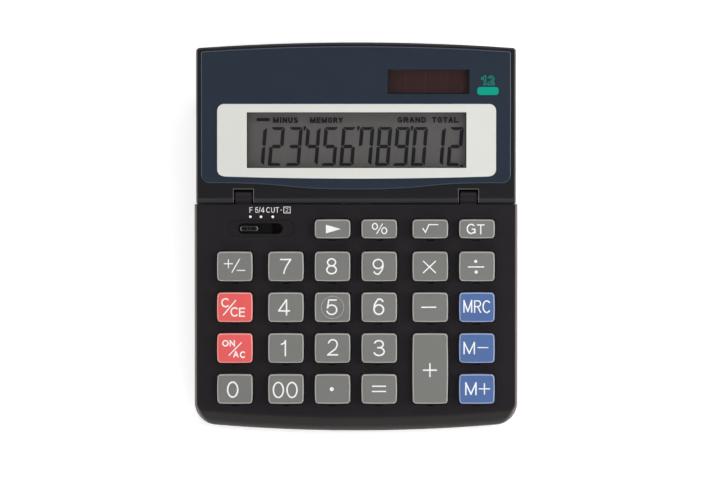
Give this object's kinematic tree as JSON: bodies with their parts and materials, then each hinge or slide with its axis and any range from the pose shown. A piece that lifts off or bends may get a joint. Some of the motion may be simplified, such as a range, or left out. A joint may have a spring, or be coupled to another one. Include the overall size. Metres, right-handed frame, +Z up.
{
  "type": "desktop calculator",
  "caption": "Desktop calculator with a sloping keyboard, spring-back moulded keys, a slide switch and a hinged display head with solar cell and number display.",
  "frame": {"origin": "centre of the bounding box, on the plane of the desk under the rubber feet", "axes": "+X to the user's right, +Y away from the user towards the display, +Z up from the desk"},
  "size_m": [0.1518, 0.1822, 0.0323],
  "materials": {
    "case_plastic": "fine satin texture",
    "head_plastic": "fine satin texture",
    "lens_acrylic": "polished, printed from behind",
    "display_glass": "satin polariser",
    "solar_glass": "polished",
    "switch_plastic": "satin",
    "key_grey": "satin",
    "key_red": "satin",
    "key_blue": "satin",
    "keypad_rubber": "matte",
    "black_rubber": "matte",
    "circuit_board": "solder resist",
    "chip_resin": "smooth",
    "wire_insulation": "smooth",
    "ribbon_film": "smooth",
    "screw_steel": "zinc plated",
    "pin_steel": "ground",
    "cell_steel": "bright",
    "contact_metal": "nickel plated"
  },
  "bodies": {
    "base": {"base_top_shell": "case_plastic", "base_bottom_cover": "case_plastic", "key_circuit_board": "circuit_board", "rubber_keypad": "keypad_rubber", "board_screws": "screw_steel", "base_screws": "screw_steel", "rubber_feet": "black_rubber", "button_cell": "cell_steel", "battery_contact_negative": "contact_metal", "battery_contact_positive": "contact_metal", "battery_leads": "wire_insulation", "ribbon_cable": "ribbon_film"},
    "display_head": {"display_bezel": "head_plastic", "display_back_cover": "head_plastic", "display_lens": "lens_acrylic", "lcd_panel": "display_glass", "zebra_strip": "black_rubber", "display_board": "circuit_board", "calculator_chip": "chip_resin", "solar_cell": "solar_glass", "solar_leads": "wire_insulation", "display_screws": "screw_steel", "left_hinge_pin": "pin_steel", "right_hinge_pin": "pin_steel"},
    "mode_slider": {"switch_knob": "switch_plastic", "switch_wiper": "contact_metal"},
    "battery_hatch": {"battery_door": "case_plastic"},
    "0_button": {"key_0": "key_grey"},
    "double_zero_button": {"key_double_zero": "key_grey"},
    "point_button": {"key_point": "key_grey"},
    "equals_button": {"key_equals": "key_grey"},
    "memory_plus_button": {"key_memory_plus": "key_blue"},
    "on_clear_button": {"key_on_clear": "key_red"},
    "1_button": {"key_1": "key_grey"},
    "2_button": {"key_2": "key_grey"},
    "3_button": {"key_3": "key_grey"},
    "memory_minus_button": {"key_memory_minus": "key_blue"},
    "clear_entry_button": {"key_clear_entry": "key_red"},
    "4_button": {"key_4": "key_grey"},
    "5_button": {"key_5": "key_grey"},
    "6_button": {"key_6": "key_grey"},
    "minus_button": {"key_minus": "key_grey"},
    "memory_recall_button": {"key_memory_recall": "key_blue"},
    "sign_button": {"key_sign": "key_grey"},
    "7_button": {"key_7": "key_grey"},
    "8_button": {"key_8": "key_grey"},
    "9_button": {"key_9": "key_grey"},
    "multiply_button": {"key_multiply": "key_grey"},
    "divide_button": {"key_divide": "key_grey"},
    "correct_button": {"key_correct": "key_grey"},
    "percent_button": {"key_percent": "key_grey"},
    "square_root_button": {"key_square_root": "key_grey"},
    "grand_total_button": {"key_grand_total": "key_grey"},
    "plus_button": {"key_plus": "key_grey"}
  },
  "joints": [
    {"name": "display_tilt", "type": "hinge", "parent": "base", "child": "display_head", "pos_m": [0, 0.01821, 0.02296], "axis": [1, 0, 0], "range_deg": [0, 60], "deforming": ["ribbon_cable"]},
    {"name": "mode_slide", "type": "slide", "parent": "base", "child": "mode_slider", "axis": [1, 0, 0], "range_m": [0, 0.0106]},
    {"name": "battery_door_slide", "type": "slide", "parent": "base", "child": "battery_hatch", "axis": [0, 1, 0], "range_m": [0, 0.023]},
    {"name": "0_press", "type": "slide", "parent": "base", "child": "0_button", "axis": [0, 0.0872, -0.9962], "range_m": [0, 0.0018], "stiffness_N_per_m": 250, "springref_m": -0.0008, "deforming": ["rubber_keypad"]},
    {"name": "double_zero_press", "type": "slide", "parent": "base", "child": "double_zero_button", "axis": [0, 0.0872, -0.9962], "range_m": [0, 0.0018], "stiffness_N_per_m": 250, "springref_m": -0.0008, "deforming": ["rubber_keypad"]},
    {"name": "point_press", "type": "slide", "parent": "base", "child": "point_button", "axis": [0, 0.0872, -0.9962], "range_m": [0, 0.0018], "stiffness_N_per_m": 250, "springref_m": -0.0008, "deforming": ["rubber_keypad"]},
    {"name": "equals_press", "type": "slide", "parent": "base", "child": "equals_button", "axis": [0, 0.0872, -0.9962], "range_m": [0, 0.0018], "stiffness_N_per_m": 250, "springref_m": -0.0008, "deforming": ["rubber_keypad"]},
    {"name": "memory_plus_press", "type": "slide", "parent": "base", "child": "memory_plus_button", "axis": [0, 0.0872, -0.9962], "range_m": [0, 0.0018], "stiffness_N_per_m": 250, "springref_m": -0.0008, "deforming": ["rubber_keypad"]},
    {"name": "on_clear_press", "type": "slide", "parent": "base", "child": "on_clear_button", "axis": [0, 0.0872, -0.9962], "range_m": [0, 0.0018], "stiffness_N_per_m": 250, "springref_m": -0.0008, "deforming": ["rubber_keypad"]},
    {"name": "1_press", "type": "slide", "parent": "base", "child": "1_button", "axis": [0, 0.0872, -0.9962], "range_m": [0, 0.0018], "stiffness_N_per_m": 250, "springref_m": -0.0008, "deforming": ["rubber_keypad"]},
    {"name": "2_press", "type": "slide", "parent": "base", "child": "2_button", "axis": [0, 0.0872, -0.9962], "range_m": [0, 0.0018], "stiffness_N_per_m": 250, "springref_m": -0.0008, "deforming": ["rubber_keypad"]},
    {"name": "3_press", "type": "slide", "parent": "base", "child": "3_button", "axis": [0, 0.0872, -0.9962], "range_m": [0, 0.0018], "stiffness_N_per_m": 250, "springref_m": -0.0008, "deforming": ["rubber_keypad"]},
    {"name": "memory_minus_press", "type": "slide", "parent": "base", "child": "memory_minus_button", "axis": [0, 0.0872, -0.9962], "range_m": [0, 0.0018], "stiffness_N_per_m": 250, "springref_m": -0.0008, "deforming": ["rubber_keypad"]},
    {"name": "clear_entry_press", "type": "slide", "parent": "base", "child": "clear_entry_button", "axis": [0, 0.0872, -0.9962], "range_m": [0, 0.0018], "stiffness_N_per_m": 250, "springref_m": -0.0008, "deforming": ["rubber_keypad"]},
    {"name": "4_press", "type": "slide", "parent": "base", "child": "4_button", "axis": [0, 0.0872, -0.9962], "range_m": [0, 0.0018], "stiffness_N_per_m": 250, "springref_m": -0.0008, "deforming": ["rubber_keypad"]},
    {"name": "5_press", "type": "slide", "parent": "base", "child": "5_button", "axis": [0, 0.0872, -0.9962], "range_m": [0, 0.0018], "stiffness_N_per_m": 250, "springref_m": -0.0008, "deforming": ["rubber_keypad"]},
    {"name": "6_press", "type": "slide", "parent": "base", "child": "6_button", "axis": [0, 0.0872, -0.9962], "range_m": [0, 0.0018], "stiffness_N_per_m": 250, "springref_m": -0.0008, "deforming": ["rubber_keypad"]},
    {"name": "minus_press", "type": "slide", "parent": "base", "child": "minus_button", "axis": [0, 0.0872, -0.9962], "range_m": [0, 0.0018], "stiffness_N_per_m": 250, "springref_m": -0.0008, "deforming": ["rubber_keypad"]},
    {"name": "memory_recall_press", "type": "slide", "parent": "base", "child": "memory_recall_button", "axis": [0, 0.0872, -0.9962], "range_m": [0, 0.0018], "stiffness_N_per_m": 250, "springref_m": -0.0008, "deforming": ["rubber_keypad"]},
    {"name": "sign_press", "type": "slide", "parent": "base", "child": "sign_button", "axis": [0, 0.0872, -0.9962], "range_m": [0, 0.0018], "stiffness_N_per_m": 250, "springref_m": -0.0008, "deforming": ["rubber_keypad"]},
    {"name": "7_press", "type": "slide", "parent": "base", "child": "7_button", "axis": [0, 0.0872, -0.9962], "range_m": [0, 0.0018], "stiffness_N_per_m": 250, "springref_m": -0.0008, "deforming": ["rubber_keypad"]},
    {"name": "8_press", "type": "slide", "parent": "base", "child": "8_button", "axis": [0, 0.0872, -0.9962], "range_m": [0, 0.0018], "stiffness_N_per_m": 250, "springref_m": -0.0008, "deforming": ["rubber_keypad"]},
    {"name": "9_press", "type": "slide", "parent": "base", "child": "9_button", "axis": [0, 0.0872, -0.9962], "range_m": [0, 0.0018], "stiffness_N_per_m": 250, "springref_m": -0.0008, "deforming": ["rubber_keypad"]},
    {"name": "multiply_press", "type": "slide", "parent": "base", "child": "multiply_button", "axis": [0, 0.0872, -0.9962], "range_m": [0, 0.0018], "stiffness_N_per_m": 250, "springref_m": -0.0008, "deforming": ["rubber_keypad"]},
    {"name": "divide_press", "type": "slide", "parent": "base", "child": "divide_button", "axis": [0, 0.0872, -0.9962], "range_m": [0, 0.0018], "stiffness_N_per_m": 250, "springref_m": -0.0008, "deforming": ["rubber_keypad"]},
    {"name": "correct_press", "type": "slide", "parent": "base", "child": "correct_button", "axis": [0, 0.0872, -0.9962], "range_m": [0, 0.0018], "stiffness_N_per_m": 250, "springref_m": -0.0008, "deforming": ["rubber_keypad"]},
    {"name": "percent_press", "type": "slide", "parent": "base", "child": "percent_button", "axis": [0, 0.0872, -0.9962], "range_m": [0, 0.0018], "stiffness_N_per_m": 250, "springref_m": -0.0008, "deforming": ["rubber_keypad"]},
    {"name": "square_root_press", "type": "slide", "parent": "base", "child": "square_root_button", "axis": [0, 0.0872, -0.9962], "range_m": [0, 0.0018], "stiffness_N_per_m": 250, "springref_m": -0.0008, "deforming": ["rubber_keypad"]},
    {"name": "grand_total_press", "type": "slide", "parent": "base", "child": "grand_total_button", "axis": [0, 0.0872, -0.9962], "range_m": [0, 0.0018], "stiffness_N_per_m": 250, "springref_m": -0.0008, "deforming": ["rubber_keypad"]},
    {"name": "plus_press", "type": "slide", "parent": "base", "child": "plus_button", "axis": [0, 0.0872, -0.9962], "range_m": [0, 0.0018], "stiffness_N_per_m": 250, "springref_m": -0.0008, "deforming": ["rubber_keypad"]}
  ]
}
